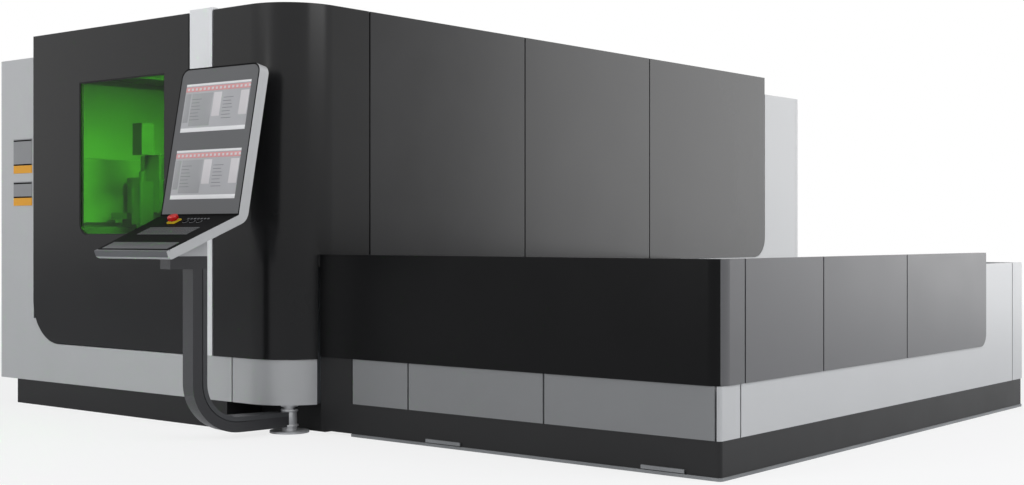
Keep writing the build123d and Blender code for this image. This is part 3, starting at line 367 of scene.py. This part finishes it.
class Bench:
    """The work bench: adds primitives, shapes them in edit mode and sets them down dressed."""

    def __init__(self) -> None:
        """Starts with no materials made."""
        self.made: dict[Finish, bpy.types.Material] = {}

    def material(self, finish: Finish) -> bpy.types.Material:
        """Gives a finish's material, made once.

        Args:
            finish: The finish wanted.

        Returns:
            Its material.
        """
        if finish not in self.made:
            self.made[finish] = finish.make()
        return self.made[finish]

    def dress(self, piece: bpy.types.Object, finish: Finish) -> None:
        """Gives a whole piece one finish.

        Args:
            piece: The object to dress.
            finish: Its finish.
        """
        piece.data.materials.clear()
        piece.data.materials.append(self.material(finish))

    def block(
        self, name: str, low: Point, high: Point, edge: float, place: Matrix | None = None
    ) -> bpy.types.Object:
        """Adds a block with softened edges between two corners.

        Args:
            name: The piece's name.
            low: Lowest corner in millimetres.
            high: Highest corner in millimetres.
            edge: Width of the softened edge in millimetres.
            place: Where the block's own axes stand, or None for the machine's.

        Returns:
            The block, at the origin with its place in its mesh.
        """
        bpy.ops.object.select_all(action="DESELECT")
        middle = [(a + b) / 2 * MM for a, b in zip(low, high)]
        bpy.ops.mesh.primitive_cube_add(size=1, location=middle)
        piece = bpy.context.object
        piece.name = name
        piece.scale = [(b - a) * MM for a, b in zip(low, high)]
        bpy.ops.object.transform_apply(location=True, rotation=True, scale=True)
        bpy.ops.object.mode_set(mode="EDIT")
        bpy.ops.mesh.select_all(action="SELECT")
        bpy.ops.mesh.bevel(offset=edge * MM, segments=2, affect="EDGES")
        bpy.ops.object.mode_set(mode="OBJECT")
        bpy.ops.object.shade_smooth_by_angle(angle=SMOOTH_ANGLE)
        if place is not None:
            piece.data.transform(place)
        return piece

    def pick(self, piece: bpy.types.Object, wanted: Callable[[bpy.types.MeshPolygon], bool]) -> None:
        """Leaves a piece in edit mode with the faces that pass a test selected.

        Args:
            piece: The active object.
            wanted: The test of a face's place or normal.
        """
        bpy.ops.object.mode_set(mode="EDIT")
        bpy.ops.mesh.select_mode(type="FACE")
        bpy.ops.mesh.select_all(action="DESELECT")
        bpy.ops.object.mode_set(mode="OBJECT")
        for face in piece.data.polygons:
            face.select = wanted(face)
        bpy.ops.object.mode_set(mode="EDIT")

    def turned(
        self,
        name: str,
        foot: Point,
        radius: float,
        height: float,
        edge: float,
        dish: float = 0.0,
        place: Matrix | None = None,
    ) -> bpy.types.Object:
        """Adds a turned piece with softened rims and a dished top.

        Args:
            name: The piece's name.
            foot: The middle of its lower face in millimetres.
            radius: Its radius in millimetres.
            height: Its height in millimetres.
            edge: Width of the softened rims in millimetres.
            dish: Depth of the hollow in its top in millimetres.
            place: Where the piece's own axes stand, or None for the machine's.

        Returns:
            The piece, at the origin with its place in its mesh.
        """
        bpy.ops.object.select_all(action="DESELECT")
        middle = (foot[0] * MM, foot[1] * MM, (foot[2] + height / 2) * MM)
        bpy.ops.mesh.primitive_cylinder_add(
            vertices=32, radius=radius * MM, depth=height * MM, location=middle
        )
        piece = bpy.context.object
        piece.name = name
        bpy.ops.object.transform_apply(location=True, rotation=True, scale=True)
        self.pick(piece, lambda face: face.normal.z > 0.9)
        bpy.ops.mesh.inset(thickness=radius * 0.3 * MM)
        bpy.ops.transform.translate(value=(0.0, 0.0, -dish * MM))
        bpy.ops.object.mode_set(mode="OBJECT")
        rim = piece.modifiers.new("rim", "BEVEL")
        rim.width = edge * MM
        rim.segments = 2
        rim.limit_method = "ANGLE"
        rim.angle_limit = RIM_ANGLE
        bpy.ops.object.modifier_apply(modifier=rim.name)
        bpy.ops.object.shade_smooth_by_angle(angle=SMOOTH_ANGLE)
        if place is not None:
            piece.data.transform(place)
        return piece

    def loop(self, name: str, middle: Point, radius: float, wire: float, place: Matrix) -> bpy.types.Object:
        """Adds a closed ring of round wire, pressed a little oval.

        Args:
            name: The piece's name.
            middle: Its middle in millimetres, on its own axes.
            radius: Radius of the wire's middle line in millimetres.
            wire: The wire's radius in millimetres.
            place: Where the ring's own axes stand.

        Returns:
            The ring, at the origin with its place in its mesh.
        """
        bpy.ops.object.select_all(action="DESELECT")
        bpy.ops.mesh.primitive_torus_add(
            major_segments=32, minor_segments=10, major_radius=radius * MM, minor_radius=wire * MM
        )
        piece = bpy.context.object
        piece.name = name
        bpy.ops.object.mode_set(mode="EDIT")
        bpy.ops.mesh.select_all(action="SELECT")
        bpy.ops.transform.resize(value=(1.0, 1.06, 1.0))
        bpy.ops.transform.translate(value=[value * MM for value in middle])
        bpy.ops.object.mode_set(mode="OBJECT")
        bpy.ops.object.shade_smooth()
        piece.data.transform(place)
        return piece

    def join(self, name: str, pieces: list[bpy.types.Object]) -> bpy.types.Object:
        """Joins several pieces into one.

        Args:
            name: The joined piece's name.
            pieces: The objects to join.

        Returns:
            The joined object.
        """
        bpy.ops.object.select_all(action="DESELECT")
        for piece in pieces:
            piece.select_set(True)
        bpy.context.view_layer.objects.active = pieces[0]
        if len(pieces) > 1:
            bpy.ops.object.join()
        pieces[0].name = name
        pieces[0].data.name = name
        return pieces[0]


@dataclass
class Enclosure:
    """Everything the CAD frame carries, dressed node by node."""

    bench: Bench
    plates: tuple[Pair, ...] = ((1175.0, 1318.0), (1368.0, 1572.0))
    band: float = 46.3
    line_margin: float = 2.0
    line_width: float = 8.0
    line_below_top: float = 14.0
    line_above_band: float = 0.2
    roof: float = 2050.0
    eye_places: tuple[Pair, ...] = (
        (-650.0, -1300.0), (-650.0, 1300.0), (650.0, -1300.0), (650.0, 1300.0),
    )
    washer: Pair = (32.0, 8.0)
    shank: Pair = (16.0, 16.0)
    eye: Pair = (26.0, 9.0)
    eye_height: float = 56.0
    post: Pair = (1167.0, -2501.0)
    collars: tuple[tuple[float, ...], ...] = (
        (30.0, 46.0, 10.0, 1.5), (40.0, 38.0, 66.0, 2.0), (106.0, 44.0, 12.0, 1.5),
    )

    def dress(self, nodes: dict[str, bpy.types.Object]) -> None:
        """Gives each CAD node its finish.

        Args:
            nodes: The CAD nodes by name.
        """
        for finish, names in NODE_FINISHES.items():
            for name in names:
                self.bench.dress(nodes[name], finish)
        self.colour_bands(nodes["wing_plates"])
        # The corner panel's faces towards +X take the mid grey copy: painted sheen, beside the painted shade
        # of its front
        self.paint(nodes["exchange_corner_panel"], BOX_SIDE_SHEEN_PAINT, lambda face: face.normal.x > 0.8)
        self.plate_lines()
        self.lifting_eyes()
        self.pivot_collars()
        LOG.info("dressed %d nodes", len(nodes))

    def plate_lines(self) -> None:
        """Builds the dark line along the top of each blank plate and over each amber band."""
        lines = []
        low_corner, high_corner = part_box("wing_plates")
        left, right, front = low_corner[0] / MM, high_corner[0] / MM, low_corner[1] / MM
        for low, high in self.plates:
            for z in (high - self.line_below_top, low + self.band + self.line_above_band):
                near = (left + self.line_margin, front - 0.8, z)
                far = (right - self.line_margin, front + 0.4, z + self.line_width)
                lines.append(self.bench.block("line", near, far, 0.3))
        joined = self.bench.join("plate_lines", lines)
        self.bench.dress(joined, DARK_ABS)
        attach(joined, "cabinet")

    def lifting_eyes(self) -> None:
        """Builds the four eye bolts that the cabinet's roof is lifted by."""
        gear = []
        upright = Matrix.Rotation(math.radians(90), 4, "X")
        for x, y in self.eye_places:
            gear.append(self.bench.turned("washer", (x, y, self.roof), *self.washer, 1.0))
            gear.append(self.bench.turned("shank", (x, y, self.roof + self.washer[1]), *self.shank, 2.0))
            middle = Matrix.Translation((x * MM, y * MM, (self.roof + self.eye_height) * MM))
            gear.append(self.bench.loop("eye", (0.0, 0.0, 0.0), *self.eye, middle @ upright))
        joined = self.bench.join("lifting_eyes", gear)
        self.bench.dress(joined, ZINC)
        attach(joined, "cabinet")

    def pivot_collars(self) -> None:
        """Builds the turned collars that clamp the arm's foot to its post."""
        rings = [self.bench.turned("collar", (*self.post, low), *sizes) for low, *sizes in self.collars]
        joined = self.bench.join("pivot_collars", rings)
        self.bench.dress(joined, SATIN_NICKEL)
        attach(joined, "arm")

    def paint(
        self, node: bpy.types.Object, finish: Finish, wanted: Callable[[bpy.types.MeshPolygon], bool]
    ) -> None:
        """Gives some of a node's faces a second finish.

        Args:
            node: The CAD node.
            finish: The second finish.
            wanted: The test of a face's place or normal.
        """
        node.data.materials.append(self.bench.material(finish))
        for face in node.data.polygons:
            if wanted(face):
                face.material_index = len(node.data.materials) - 1

    def colour_bands(self, plates: bpy.types.Object) -> None:
        """Paints the low band under each plate amber.

        Args:
            plates: The node of plates and bands.
        """
        self.paint(
            plates,
            AMBER_PLATE,
            lambda face: any(low <= face.center.z / MM <= low + self.band for low, _ in self.plates),
        )


@dataclass(frozen=True)
class Bar:
    """One plain area of a display's picture, with its limits as shares of the display."""

    name: str
    finish: Finish
    across: Pair
    up: Pair


BARS = (
    Bar("title", DISPLAY_WHITE, (-0.5, 0.5), (0.95, 1.0)),
    Bar("tools", DISPLAY_PINK, (-0.5, 0.5), (0.83, 0.94)),
    Bar("menu", DISPLAY_DIM, (-0.49, -0.4), (0.2, 0.8)),
    Bar("drawing", DISPLAY_DIM, (-0.39, -0.06), (0.12, 0.8)),
    Bar("list", DISPLAY_PALE, (-0.05, 0.08), (0.3, 0.8)),
    Bar("side", DISPLAY_PALE, (0.36, 0.49), (0.3, 0.8)),
    Bar("status", DISPLAY_WHITE, (-0.5, 0.5), (0.0, 0.09)),
)


@dataclass
class Console:
    """The operator's console: its two displays and the sloping tray."""

    bench: Bench
    centre: float = 1001.0
    knee: Pair = (-2945.0, 1096.0)
    yaw: float = 2.6
    tilt: float = 11.0
    slope: float = 22.0
    screen: Pair = (472.0, 252.0)
    rows: Pair = (209.0, 554.0)
    lip_start: float = 441.0
    picture: Pair = (-1.0, -0.4)
    icon_count: int = 16
    icon: Pair = (14.0, 12.0)
    mark_count: int = 7
    mark: float = 2.5
    palm: tuple[Point, ...] = ((-232.0, -431.0, 0.0), (236.0, -351.0, 3.0))
    buttons: tuple[float, ...] = (-8.0, 42.0, 92.0)
    button_row: float = -84.0
    button_ring: Pair = (14.0, 1.3)
    switch_count: int = 7
    switch_first: float = -20.0
    switch_pitch: float = 24.0
    switch_row: float = -52.0
    switch: Pair = (6.5, 4.5)
    key_rows: int = 5
    key_columns: int = 19
    key_first: float = 169.0
    key_pitch: float = 19.0
    key_half: float = 8.0
    key_height: float = 3.0
    pieces: list[bpy.types.Object] = field(default_factory=list)

    def panel(self) -> Matrix:
        """Where the display panel's own axes stand: X across, Y up it, Z out of it."""
        lean = math.radians(self.tilt)
        return self.axes((0, math.sin(lean), math.cos(lean)), (0, -math.cos(lean), math.sin(lean)))

    def tray(self) -> Matrix:
        """Where the tray's own axes stand: X across, Y up towards the knee, Z out of it."""
        fall = math.radians(self.slope)
        return self.axes((0, math.cos(fall), math.sin(fall)), (0, -math.sin(fall), math.cos(fall)))

    def axes(self, up: Point, out: Point) -> Matrix:
        """A placing at the knee from two directions.

        Args:
            up: The direction of the panel's Y.
            out: The direction of the panel's Z.

        Returns:
            The placing as a matrix.
        """
        turn = Matrix((Vector((1, 0, 0)), Vector(up), Vector(out))).transposed().to_4x4()
        turn = Matrix.Rotation(math.radians(self.yaw), 4, "Z") @ turn
        return Matrix.Translation((self.centre * MM, self.knee[0] * MM, self.knee[1] * MM)) @ turn

    def build(self, shell: bpy.types.Object) -> None:
        """Builds the pictures on the displays and the keys on the tray.

        Args:
            shell: The CAD node of the console's shell.
        """
        self.faces(shell)
        self.pictures()
        self.keyboard()
        self.palm_pad()
        self.switches()
        for piece in self.pieces:
            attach(piece, "arm")
        LOG.info("console: %d pieces", len(self.pieces))

    def faces(self, shell: bpy.types.Object) -> None:
        """Paints the shell's front, tray top and lip darker than its sides.

        Args:
            shell: The CAD node of the console's shell.
        """
        for finish in (GREY_ABS, DARK_ABS, LIP_ABS):
            shell.data.materials.append(self.bench.material(finish))
        panel, tray = self.panel(), self.tray()
        out, top = Vector(panel.col[2][:3]), Vector(tray.col[2][:3])
        back = tray.inverted()
        for face in shell.data.polygons:
            along = -(back @ face.center).y / MM
            if face.normal.dot(out) > SAME_WAY:
                face.material_index = 2
            elif face.normal.dot(top) > SAME_WAY:
                face.material_index = 3 if along > self.lip_start - 1 else 2
            elif along > self.lip_start and face.normal.dot(top) > -0.5 and abs(face.normal.x) < 0.5:
                face.material_index = 3

    def pictures(self) -> None:
        """Builds the plain drawing windows that the displays show."""
        width, height = self.screen
        back, face = self.picture
        front = face / 2
        for number, middle in enumerate(self.rows, 1):
            bottom = middle - height / 2
            for bar in BARS:
                near = (bar.across[0] * width + 2, bottom + bar.up[0] * height + 1, back)
                far = (bar.across[1] * width - 2, bottom + bar.up[1] * height - 1, face)
                piece = self.bench.block(f"display_{number}_{bar.name}", near, far, 0.2, self.panel())
                self.add(piece, bar.finish)
            icons = []
            for place in range(self.icon_count):
                x = (place / self.icon_count - 0.47) * width
                y = bottom + 0.86 * height
                far = (x + self.icon[0], y + self.icon[1], front)
                icons.append(self.bench.block("icon", (x, y, face), far, 0.05, self.panel()))
            self.add(self.bench.join(f"display_{number}_icons", icons), DISPLAY_PALE)
            marks = []
            for line in range(self.mark_count):
                y = bottom + (0.25 + 0.07 * line) * height
                reach = width * (0.30 - 0.03 * (line % 3)) / 2
                for x, low in ((-0.38 * width, face), (0.11 * width, back + 0.1)):
                    far = (x + reach, y + self.mark, front)
                    marks.append(self.bench.block("mark", (x, y, low), far, 0.05, self.panel()))
            self.add(self.bench.join(f"display_{number}_marks", marks), DISPLAY_INK)

    def add(self, piece: bpy.types.Object, finish: Finish) -> None:
        """Dresses a piece and counts it among the console's.

        Args:
            piece: The built piece.
            finish: Its finish.
        """
        self.bench.dress(piece, finish)
        self.pieces.append(piece)

    def palm_pad(self) -> None:
        """Builds the grey pad that the operator's palms lie on."""
        self.add(self.bench.block("palm_pad", *self.palm, 1.4, self.tray()), PALM_ABS)

    def switches(self) -> None:
        """Builds the collars round the push buttons and the row of small switches behind them."""
        parts = []
        for x in self.buttons:
            middle = (x, self.button_row, 0.9)
            parts.append(self.bench.loop("ring", middle, *self.button_ring, self.tray()))
        for number in range(self.switch_count):
            foot = (self.switch_first + self.switch_pitch * number, self.switch_row, 0.2)
            parts.append(self.bench.turned("switch", foot, *self.switch, 0.6, 0.8, self.tray()))
        self.add(self.bench.join("switch_row", parts), LIP_ABS)

    def keyboard(self) -> None:
        """Builds the rows of key caps on the tray."""
        caps = []
        half = self.key_half
        for row in range(self.key_rows):
            for column in range(self.key_columns):
                x = (column - self.key_columns // 2) * self.key_pitch
                y = -(self.key_first + row * self.key_pitch)
                far = (x + half, y + half, self.key_height)
                caps.append(self.bench.block("cap", (x - half, y - half, 0.0), far, 1.2, self.tray()))
        self.add(self.bench.join("key_caps", caps), KEY_ABS)


@dataclass
class Chamber:
    """The cutting chamber's work lights and its pale inner lining, seen through the window."""

    bench: Bench
    strip_places: tuple[float, ...] = (-620.0, 500.0)
    strip_half: float = 30.0
    strip_along: Pair = (-2450.0, -1250.0)
    strip_up: Pair = (1955.0, 1980.0)
    wall: tuple[Point, ...] = ((-1222.0, -2560.0, 160.0), (-1219.0, 1400.0, 1960.0))

    def build(self) -> None:
        """Builds the lamps under the roof and the lining of the left wall."""
        strips = []
        for x in self.strip_places:
            low = (x - self.strip_half, self.strip_along[0], self.strip_up[0])
            high = (x + self.strip_half, self.strip_along[1], self.strip_up[1])
            strips.append(self.bench.block("strip", low, high, 6.0))
        lamps = self.bench.join("chamber_light_strips", strips)
        self.bench.dress(lamps, LAMP_DIFFUSER)
        wall = self.bench.block("chamber_left_lining", *self.wall, 1.0)
        self.bench.dress(wall, LINING_ENAMEL)
        for piece in (lamps, wall):
            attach(piece, "cabinet")
        LOG.info("chamber: lamps and lining")


@dataclass(frozen=True)
class Lamp:
    """One soft square lamp: its place, the point it shines at and its side in metres, and its watts."""

    name: str
    place: Point
    aim: Point
    size: float
    power: float

    def light(self) -> None:
        """Sets the lamp up in the scene."""
        data = bpy.data.lights.new(self.name, "AREA")
        data.shape = "SQUARE"
        data.size = self.size
        data.energy = self.power
        lamp = bpy.data.objects.new(self.name, data)
        bpy.context.scene.collection.objects.link(lamp)
        lamp.location = self.place
        lamp.rotation_euler = (Vector(self.aim) - Vector(self.place)).to_track_quat("-Z", "Y").to_euler()


LAMPS = (
    Lamp("key_light", (9.0, -1.0, 6.0), (1.0, -0.5, 1.0), 6.0, 350.0),
    Lamp("chamber_light", (0.15, -2.2, 1.94), (0.1, -2.1, 0.4), 0.5, 40.0),
    Lamp("rear_sheen", (6.6, 10.0, 2.6), (1.6, 1.0, 0.9), 6.0, 250.0),
    Lamp("front_fill", (-1.0, -11.0, 6.5), (-0.5, -2.5, 1.0), 5.0, 270.0),
    Lamp("front_strip", (0.4, -9.2, 1.8), (1.2, -2.5, 1.2), 0.7, 26.0),
)


@dataclass
class Studio:
    """The floor, the soft lights and the camera."""

    eye: Point = (6.722, -7.545, 1.0)
    heading: float = 39.1
    lens: float = 51.36
    rise: float = -0.0073
    floor_size: float = 160.0
    fade: Pair = (4.0, 14.0)
    near_white: float = 0.78
    ambient: float = 0.42

    def build(self) -> None:
        """Sets up the floor, the world and the lamps."""
        self.world()
        self.floor()
        for lamp in LAMPS:
            lamp.light()

    def camera(self) -> None:
        """Sets the camera at the photograph's angle."""
        data = bpy.data.cameras.new("photo_camera")
        data.sensor_width = 36.0
        data.lens = self.lens
        data.shift_y = self.rise
        data.clip_end = 200.0
        camera = bpy.data.objects.new("photo_camera", data)
        bpy.context.scene.collection.objects.link(camera)
        camera.location = self.eye
        camera.rotation_euler = (math.radians(90), 0.0, math.radians(self.heading))
        bpy.context.scene.camera = camera

    def world(self) -> None:
        """A plain soft surrounding light, white where it is seen directly."""
        scene = bpy.context.scene
        scene.view_settings.view_transform = "Standard"
        world = bpy.data.worlds.new("studio")
        scene.world = world
        world.use_nodes = True
        tree = world.node_tree
        tree.nodes.clear()
        path = add_node(tree, "ShaderNodeLightPath")
        clear = add_node(
            tree,
            "ShaderNodeMath",
            {"operation": "MAXIMUM"},
            {0: path.outputs["Is Camera Ray"], 1: path.outputs["Is Transmission Ray"]},
        )
        either = add_node(
            tree,
            "ShaderNodeMath",
            {"operation": "MAXIMUM"},
            {0: clear.outputs[0], 1: path.outputs["Is Glossy Ray"]},
        )
        soft = add_node(tree, "ShaderNodeBackground", {"Color": linear("F4F6FA"), "Strength": self.ambient})
        seen = add_node(tree, "ShaderNodeBackground", {"Color": WHITE, "Strength": 1.0})
        mixed = add_node(
            tree,
            "ShaderNodeMixShader",
            {},
            {0: either.outputs[0], 1: soft.outputs["Background"], 2: seen.outputs["Background"]},
        )
        add_node(tree, "ShaderNodeOutputWorld", {}, {"Surface": mixed.outputs["Shader"]})

    def floor(self) -> None:
        """A wide pale floor that fades to the background's white far off."""
        bpy.ops.object.select_all(action="DESELECT")
        bpy.ops.mesh.primitive_plane_add(size=self.floor_size, location=(0, 0, -0.0005))
        floor = bpy.context.object
        floor.name = "studio_floor"
        material = bpy.data.materials.new("pale_studio_floor")
        material.use_nodes = True
        tree = material.node_tree
        tree.nodes.clear()
        place = add_node(tree, "ShaderNodeTexCoord")
        reach = add_node(tree, "ShaderNodeVectorMath", {"operation": "LENGTH"}, {0: place.outputs["Object"]})
        fade = add_node(
            tree,
            "ShaderNodeMapRange",
            {"From Min": self.fade[0], "From Max": self.fade[1], "To Min": self.near_white, "To Max": 1.0},
            {"Value": reach.outputs["Value"]},
        )
        path = add_node(tree, "ShaderNodeLightPath")
        share = add_node(
            tree,
            "ShaderNodeMath",
            {"operation": "MULTIPLY"},
            {0: fade.outputs["Result"], 1: path.outputs["Is Camera Ray"]},
        )
        matt = add_node(tree, "ShaderNodeBsdfDiffuse", {"Color": linear("E9EAEC")})
        white = add_node(tree, "ShaderNodeEmission", {"Color": WHITE, "Strength": 1.0})
        mixed = add_node(
            tree,
            "ShaderNodeMixShader",
            {},
            {0: share.outputs[0], 1: matt.outputs["BSDF"], 2: white.outputs["Emission"]},
        )
        add_node(tree, "ShaderNodeOutputMaterial", {}, {"Surface": mixed.outputs["Shader"]})
        floor.data.materials.append(material)


def main() -> None:
    """Builds the dressed machine in order and reports each part."""
    logging.basicConfig(level=logging.INFO, format="%(message)s")
    bench = Bench()
    studio = Studio()
    studio.camera()
    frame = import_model()
    Enclosure(bench).dress(frame["nodes"])
    Console(bench).build(frame["nodes"]["console_shell"])
    Chamber(bench).build()
    studio.build()


if __name__ == "__main__":
    main()
